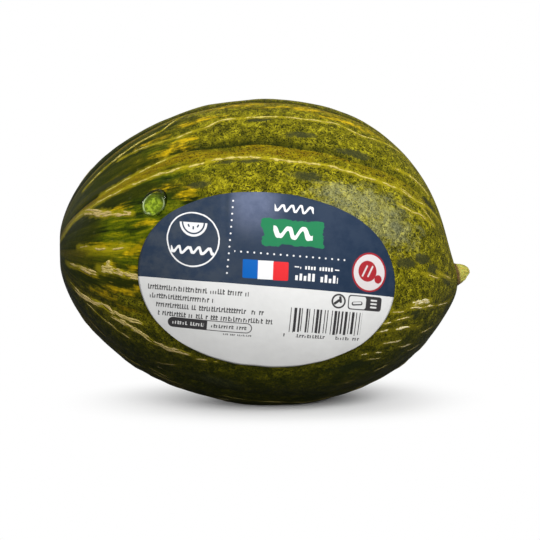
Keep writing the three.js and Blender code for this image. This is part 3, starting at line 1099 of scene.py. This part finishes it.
def tick_group():
    """Ticks of uneven height, some joined at the head or the foot, with gaps between words."""
    numbers = ("Right", "Up", "First Line", "Half Height", "Spacing", "Pitch", "Tick", "Joint")
    sockets = {name: "NodeSocketFloat" for name in numbers}
    group, shade, given, made = new_group("print_ticks", sockets, ("Marks",))
    above = shade.maths("SUBTRACT", given["Up"], given["First Line"])
    row = shade.maths("ROUND", shade.maths("DIVIDE", above, given["Pitch"]))
    level = shade.maths("SUBTRACT", above, shade.maths("MULTIPLY", row, given["Pitch"]))
    level = shade.maths("DIVIDE", level, given["Half Height"])
    column = shade.maths("DIVIDE", given["Right"], given["Spacing"])
    seed = shade.weigh((shade.maths("FLOOR", column), 1.0), (row, 31.7), (1.0, given["First Line"]))
    chance = shade.node("ShaderNodeTexWhiteNoise", {"W": seed}, output=1, noise_dimensions="1D")
    luck = shade.node("ShaderNodeSeparateXYZ", {0: chance}).node.outputs
    within = shade.maths("FRACT", column)
    top = shade.weigh((luck[0], 1.3), (1.0, 0.1))
    tick = shade.maths("MULTIPLY", shade.maths("LESS_THAN", within, given["Tick"]),
                       shade.maths("LESS_THAN", level, top))
    foot = shade.maths("MULTIPLY", shade.maths("LESS_THAN", level, -0.55),
                       shade.maths("GREATER_THAN", luck[0], 0.6))
    head = shade.maths("MULTIPLY", shade.maths("COMPARE", level, 0.35, 0.3),
                       shade.maths("GREATER_THAN", luck[1], 0.5))
    joint = shade.maths("MULTIPLY", shade.maths("MAXIMUM", head, foot),
                        shade.maths("LESS_THAN", within, given["Joint"]))
    marks = shade.maths("MULTIPLY", shade.maths("MAXIMUM", tick, joint),
                        shade.maths("GREATER_THAN", luck[2], 0.13))
    shade.feed(made["Marks"], marks)
    return group


PRINT_TICKS = tick_group()


def print_lines(shade, colour, place, right, up, lines):
    for ink, half, spacing, pitch, (tick, joint), rows in lines:
        marks = shade.placed(PRINT_TICKS, {
            "Right": right, "Up": up, "First Line": rows[0][2], "Half Height": half,
            "Spacing": spacing, "Pitch": pitch, "Tick": tick, "Joint": joint,
        })["Marks"]
        for left, end, height in rows:
            row = printed(shade, place, ((left + end) / 2, height), ((end - left) / 2, half), 0.1, 0)
            colour = shade.mix(shade.maths("MULTIPLY", row, marks), colour, ink)
    return colour


def paper_group():
    """Coated paper: a satin face with a very faint crinkle."""
    sockets = {"Place": "NodeSocketVector"}
    group, shade, given, made = new_group("coated_paper", sockets, ("Roughness", "Crinkle"))
    fibres = shade.noise(given["Place"], 0.35, detail=4)
    shade.feed(made["Roughness"], shade.maths("MULTIPLY_ADD", fibres, 0.12, 0.36))
    shade.feed(made["Crinkle"], shade.noise(given["Place"], 0.12, detail=5, roughness=0.65))
    return group


COATED_PAPER = paper_group()


def finish_paper(shade, surface, colour, place):
    paper = shade.placed(COATED_PAPER, {"Place": place})
    bump = {"Strength": 0.25, "Distance": 0.5 * MM, "Height": paper["Crinkle"]}
    shade.feed(surface["Base Color"], colour)
    shade.feed(surface["Roughness"], paper["Roughness"])
    shade.feed(surface["Normal"], shade.node("ShaderNodeBump", bump))
    surface["Specular IOR Level"].default_value = 0.3


def melon_slice(shade, colour, place, fray):
    """A rough ring, and in it half a slice of melon: rind, flesh and seeds."""
    rim = printed(shade, place, RING, (12.2, 12.2), 12.2, 0, fray, "Distance")
    rim = shade.step(shade.maths("ABSOLUTE", shade.maths("ADD", rim, 0.4)), 0.42, 0.22)
    colour = shade.mix(rim, colour, WHITE)
    cut_height = RING[1] + 7.4
    lower = printed(shade, place, (RING[0], cut_height - 3.5), (7.0, 3.5), 0.0, 0)
    for ink, radius in ((WHITE, 6.3), (NAVY, 5.3), (WHITE, 4.6)):
        disc = printed(shade, place, (RING[0], cut_height), (radius, radius), radius, 0)
        colour = shade.mix(shade.maths("MULTIPLY", disc, lower), colour, ink)
    for aside, below in ((-2.1, 1.5), (0.0, 2.4), (2.1, 1.5)):
        seed = printed(shade, place, (RING[0] + aside, cut_height - below), (0.35, 0.75), 0.35, -12 * aside)
        colour = shade.mix(seed, colour, NAVY)
    return colour


def pen_stroke(shade, colour, place, right, up, left, end, height, swing, loop, half):
    """A slanting wave of uneven height, as thick where it is steep as on its crests."""
    pen = shade.noise(shade.stretched(place, (0.12, 0.0, 0.0)), 1.0, detail=1)
    above = shade.maths("SUBTRACT", up, height)
    slant = shade.weigh((right, 1.0), (above, -0.22))
    turn = shade.weigh((slant, 2 * math.pi / loop), (pen, 3.0))
    crest = shade.weigh((pen, 1.6 * swing), (1.0, 0.2 * swing))
    wave = shade.maths("MULTIPLY", shade.maths("SINE", turn), crest)
    slope = shade.maths("MULTIPLY", shade.maths("COSINE", turn), 2 * math.pi * swing / loop)
    slope = shade.maths("SQRT", shade.maths("MULTIPLY_ADD", slope, slope, 1.0))
    off = shade.maths("ABSOLUTE", shade.maths("SUBTRACT", above, wave))
    stroke = shade.step(shade.maths("DIVIDE", off, slope), half + 0.12, half - 0.08)
    within = printed(shade, place, ((left + end) / 2, height), ((end - left) / 2, swing + 2 * half), 0.3, 0)
    return shade.mix(shade.maths("MULTIPLY", stroke, within), colour, WHITE)


def dotted_rule(shade, colour, run, cross, line, start, end):
    """Dots along run from start to end, where cross is at the line."""
    phase = shade.maths("SUBTRACT", shade.maths("FRACT", shade.maths("DIVIDE", run, DOT_PITCH)), 0.5)
    off = {0: shade.maths("MULTIPLY", phase, DOT_PITCH), 1: shade.maths("SUBTRACT", cross, line)}
    off = shade.node("ShaderNodeCombineXYZ", off)
    away = shade.node("ShaderNodeVectorMath", {0: off}, output=1, operation="LENGTH")
    dot = shade.maths("MULTIPLY", shade.step(away, 0.52, 0.28), shade.maths("GREATER_THAN", run, start))
    dot = shade.maths("MULTIPLY", dot, shade.maths("LESS_THAN", run, end))
    return shade.mix(dot, colour, WHITE)


def navy_print():
    """The upper half: a ring, a headline, a brushed badge, dotted rules, a tricolour and a disc."""
    material, shade, surface = new_material("navy_print")
    place, right, up = ink_place(shade)
    # Painted sheen: the mottle of the navy is lighter towards the left.
    mottle_with_painted_sheen = shade.mix(shade.step(right, 40.0, -50.0), rgb(0.010, 0.023, 0.050), rgb(0.040, 0.052, 0.072))
    blotches = shade.noise(place, 0.10, detail=6, roughness=0.7)
    colour = shade.mix(shade.step(blotches, 0.38, 0.62), NAVY, mottle_with_painted_sheen)
    # Near the top a pale sheen of the coating is painted, broken along one fold.
    painted_sheen_haze = shade.step(shade.maths("ABSOLUTE", shade.maths("ADD", right, 8.0)), 17.0, 2.0)
    painted_sheen_haze = shade.maths("MULTIPLY", painted_sheen_haze, shade.step(up, 16.0, 37.0))
    fold = shade.step(shade.maths("ABSOLUTE", shade.maths("ADD", right, 20.0)), 0.0, 2.4)
    painted_sheen_haze = shade.maths("MULTIPLY", painted_sheen_haze, shade.maths("MULTIPLY", fold, blotches))
    colour = shade.mix(painted_sheen_haze, colour, rgb(0.16, 0.19, 0.30))
    bristles = shade.noise(shade.stretched(place, (0.13, 0.30, 1.0)), 1.0, detail=3, roughness=0.55)
    fray = shade.maths("MULTIPLY", shade.maths("SUBTRACT", bristles, 0.5), 5.0)
    colour = shade.mix(printed(shade, place, BADGE, (13.6, 5.7), 0.8, 2, fray), colour, SIGNAL_GREEN)
    colour = print_shapes(shade, colour, place, NAVY_PRINT)
    colour = melon_slice(shade, colour, place, shade.maths("MULTIPLY", fray, 0.12))
    for squiggle in SQUIGGLES:
        colour = pen_stroke(shade, colour, place, right, up, *squiggle)
    colour = print_lines(shade, colour, place, right, up, NAVY_LINES)
    leaning = shade.weigh((right, 1.0), (up, -0.045))
    colour = dotted_rule(shade, colour, right, up, RULE_HEIGHT, -16.0, 35.0)
    colour = dotted_rule(shade, colour, up, leaning, POST_PLACE, 3.5, 38.0)
    finish_paper(shade, surface, colour, place)
    return material


def pale_print():
    """The lower half: lines of small print, a capsule, two small signs and a pattern of bars."""
    material, shade, surface = new_material("pale_print")
    place, right, up = ink_place(shade)
    colour = shade.mix(shade.noise(place, 0.25, detail=4), rgb(0.60, 0.60, 0.59), rgb(0.67, 0.67, 0.66))
    colour = print_shapes(shade, colour, place, PALE_PRINT)
    colour = print_lines(shade, colour, place, right, up, PALE_LINES)
    # The bars are drawn at random, so they encode nothing.
    column = shade.maths("FLOOR", shade.maths("DIVIDE", right, 0.42))
    chance = shade.node("ShaderNodeTexWhiteNoise", {"W": column}, noise_dimensions="1D")
    dark = shade.maths("GREATER_THAN", chance, 0.4)
    breaks = shade.maths("GREATER_THAN", shade.maths("FRACT", shade.maths("DIVIDE", column, 4.0)), 0.1)
    bundle = shade.maths("FLOOR", shade.maths("DIVIDE", column, 6.0))
    foot = shade.node("ShaderNodeTexWhiteNoise", {"W": bundle}, noise_dimensions="1D")
    foot = shade.maths("GREATER_THAN", up, shade.weigh((foot, 1.4), (1.0, -21.2)))
    bars = shade.maths("MULTIPLY", shade.maths("MULTIPLY", dark, breaks), foot)
    bars = shade.maths("MULTIPLY", bars, printed(shade, place, BARS, (16.8, 6.0), 0, 0))
    colour = shade.mix(bars, colour, INK)
    finish_paper(shade, surface, colour, place)
    return material


def bare_paper():
    material, shade, surface = new_material("bare_paper")
    finish_paper(shade, surface, rgb(0.60, 0.60, 0.58), shade.vector("ink"))
    return material


label = build_label()
for paper in (pale_print(), navy_print(), bare_paper()):
    label.data.materials.append(paper)
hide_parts("label")
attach(label, "root")

# ---- The bead of water ----
# A drop that clings to the shoulder of a rib near the blossom end: clear water with a steep edge,
# drawn out on the uphill side. Its foot dips just under the skin.

DROP_HEIGHT = 3.2
DROP_PULL = 0.28
DROP_UPHILL = 50.0
DROP_SINK = 0.15


def build_drop():
    rings, spokes = 26, 72
    seat, normal, lengthwise, upwards = drop_axes()
    lift = np.linspace(0, 1, rings + 1)
    turns = 2 * math.pi * np.arange(spokes) / spokes
    points, faces = [], []
    uphill = math.radians(DROP_UPHILL)
    for level in lift[:-1]:
        out = (1 - level**2.6) ** 0.5
        reach = out * np.cos(turns - uphill)
        stretch = DROP_PULL * np.maximum(0, reach) ** 2
        right = DROP_RADIUS * (out * np.cos(turns) + stretch * math.cos(uphill))
        up = DROP_RADIUS * (out * np.sin(turns) + stretch * math.sin(uphill))
        points.append(seat + right[:, None] * lengthwise + up[:, None] * upwards
                      + normal * (DROP_HEIGHT * level - DROP_SINK))
    points += [[seat + normal * (DROP_HEIGHT - DROP_SINK)], [seat - normal * 0.35]]
    points = np.concatenate(points)
    top, bottom = len(points) - 2, len(points) - 1
    for ring in range(rings - 1):
        for number in range(spokes):
            a = ring * spokes + number
            b = ring * spokes + (number + 1) % spokes
            faces.append((a, b, b + spokes, a + spokes))
    last = (rings - 1) * spokes
    for number in range(spokes):
        following = (number + 1) % spokes
        faces.append((last + number, last + following, top))
        faces.append((following, number, bottom))
    piece = add_piece("water_bead", in_frame(points), faces)
    rim = np.clip((0.62 - np.repeat(lift[:-1], spokes)) / 0.3, 0, 1)
    add_values(piece, "rim", np.concatenate([rim, [0.0, 1.0]]))
    return piece


def water_material():
    material, shade, surface = new_material("clear_water")
    # Towards the rim the light is bent away, and the water looks as dark as deep green glass.
    rim = shade.step(shade.value("rim"), 0.0, 1.0)
    shade.feed(surface["Base Color"], shade.mix(rim, rgb(1.0, 1.0, 0.95), rgb(0.02, 0.03, 0.003)))
    surface["Roughness"].default_value = 0.0
    surface["IOR"].default_value = 1.333
    surface["Transmission Weight"].default_value = 1.0
    output = next(node for node in shade.tree.nodes if node.type == "OUTPUT_MATERIAL")
    water = output.inputs["Surface"].links[0].from_socket
    # Lamps shine straight through, so that the rind under the drop isn't black.
    shadow_ray = shade.node("ShaderNodeLightPath", output=1)
    clear = shade.node("ShaderNodeBsdfTransparent", {"Color": rgb(0.97, 1.0, 0.95)})
    lit_through = shade.node("ShaderNodeMixShader", {0: shadow_ray, 1: water, 2: clear})
    shade.feed(output.inputs["Surface"], lit_through)
    return material


drop = build_drop()
drop.data.materials.append(water_material())
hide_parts("water_drop")
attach(drop, "root")

# ---- The studio ----
# A white sweep, soft lights in front, low, above and behind, a narrow strip of light at each side, and
# a camera that looks slightly down on the label from a little towards the blossom end.

FLOOR_HALF = 3.0


def floor_material():
    """White paper. It gives the melon little light back, as a dark surround would."""
    material, shade, surface = new_material("white_sweep")
    surface["Base Color"].default_value = rgb(0.86, 0.86, 0.86)
    surface["Roughness"].default_value = 0.9
    surface["Specular IOR Level"].default_value = 0.0
    output = next(node for node in shade.tree.nodes if node.type == "OUTPUT_MATERIAL")
    paper = output.inputs["Surface"].links[0].from_socket
    white = shade.node("ShaderNodeEmission", {"Color": rgb(1, 1, 1), "Strength": 1.0})
    # Only the paper round the melon takes a shadow: an oval, longer along the melon.
    place = shade.stretched(shade.node("ShaderNodeNewGeometry"), (1 / 0.12, 1 / 0.085, 0), (-0.1, 0, 0))
    far = shade.node("ShaderNodeVectorMath", {0: place}, operation="LENGTH", output=1)
    seen = shade.node("ShaderNodeMixShader", {0: shade.step(far, 0.12, 1.0), 1: paper, 2: white})
    dim = shade.node("ShaderNodeBsdfDiffuse", {"Color": rgb(0.16, 0.16, 0.16)})
    camera_ray = shade.node("ShaderNodeLightPath", output=0)
    paper = shade.node("ShaderNodeMixShader", {0: camera_ray, 1: dim, 2: seen})
    shade.feed(output.inputs["Surface"], paper)
    return material


corners = np.array([[-1, -1, 0], [1, -1, 0], [1, 1, 0], [-1, 1, 0]]) * FLOOR_HALF
floor = add_piece("floor", corners, [(0, 1, 2, 3)], smooth=False)
floor.data.materials.append(floor_material())

world = bpy.data.worlds.new("studio")
world.use_nodes = True
bpy.context.scene.world = world
world_shade = Shader(world.node_tree)
world_out = next(node for node in world.node_tree.nodes if node.type == "OUTPUT_WORLD")
surround = world_shade.node("ShaderNodeBackground", {"Color": rgb(1, 1, 1), "Strength": 0.22})
backdrop = world_shade.node("ShaderNodeBackground", {"Color": rgb(1, 1, 1), "Strength": 1.0})
camera_ray = world_shade.node("ShaderNodeLightPath", output=0)
white_room = world_shade.node("ShaderNodeMixShader", {0: camera_ray, 1: surround, 2: backdrop})
world_shade.feed(world_out.inputs["Surface"], white_room)

melon_middle = Vector(BODY_MIDDLE) * MM


def add_softbox(name, place, width, height, power, mirrored=False):
    """A soft light aimed at the melon. Only a mirrored one shows as a highlight on the rind and water."""
    lamp = bpy.data.lights.new(name, "AREA")
    lamp.shape = "RECTANGLE"
    lamp.size = width
    lamp.size_y = height
    lamp.energy = power
    box = bpy.data.objects.new(name, lamp)
    box.location = place
    box.rotation_euler = (melon_middle - Vector(place)).to_track_quat("-Z", "Y").to_euler()
    box.visible_glossy = mirrored
    bpy.context.scene.collection.objects.link(box)


add_softbox("front_box", (0.25, -1.35, 0.80), 1.2, 0.9, 24)
add_softbox("low_box", (0.0, -1.2, 0.12), 1.2, 0.25, 6)
add_softbox("right_box", (0.75, -0.62, 0.85), 0.12, 0.35, 2.2, mirrored=True)
add_softbox("left_rim", (-0.80, 0.60, 0.35), 0.06, 0.30, 0.5, mirrored=True)
add_softbox("top_box", (0.0, 0.0, 1.4), 1.0, 1.0, 9)
add_softbox("back_box", (-0.3, 1.35, 0.45), 1.2, 0.6, 9)

CAMERA_AZIMUTH = math.radians(-6.0)
CAMERA_ELEVATION = math.radians(5.0)
CAMERA_DISTANCE = 0.8
CAMERA_LENS = 109.8
AIM_RIGHT = 7.0
AIM_DOWN = 8.7

back = Vector((
    math.sin(CAMERA_AZIMUTH) * math.cos(CAMERA_ELEVATION),
    -math.cos(CAMERA_AZIMUTH) * math.cos(CAMERA_ELEVATION),
    math.sin(CAMERA_ELEVATION),
))
right = Vector((math.cos(CAMERA_AZIMUTH), math.sin(CAMERA_AZIMUTH), 0))
aim = melon_middle + right * AIM_RIGHT * MM - right.cross(-back) * AIM_DOWN * MM
lens = bpy.data.cameras.new("camera")
lens.sensor_width = 36.0
lens.lens = CAMERA_LENS
camera = bpy.data.objects.new("camera", lens)
camera.location = aim + back * CAMERA_DISTANCE
camera.rotation_euler = (-back).to_track_quat("-Z", "Y").to_euler()
bpy.context.scene.collection.objects.link(camera)
bpy.context.scene.camera = camera
bpy.context.scene.view_settings.view_transform = "Standard"
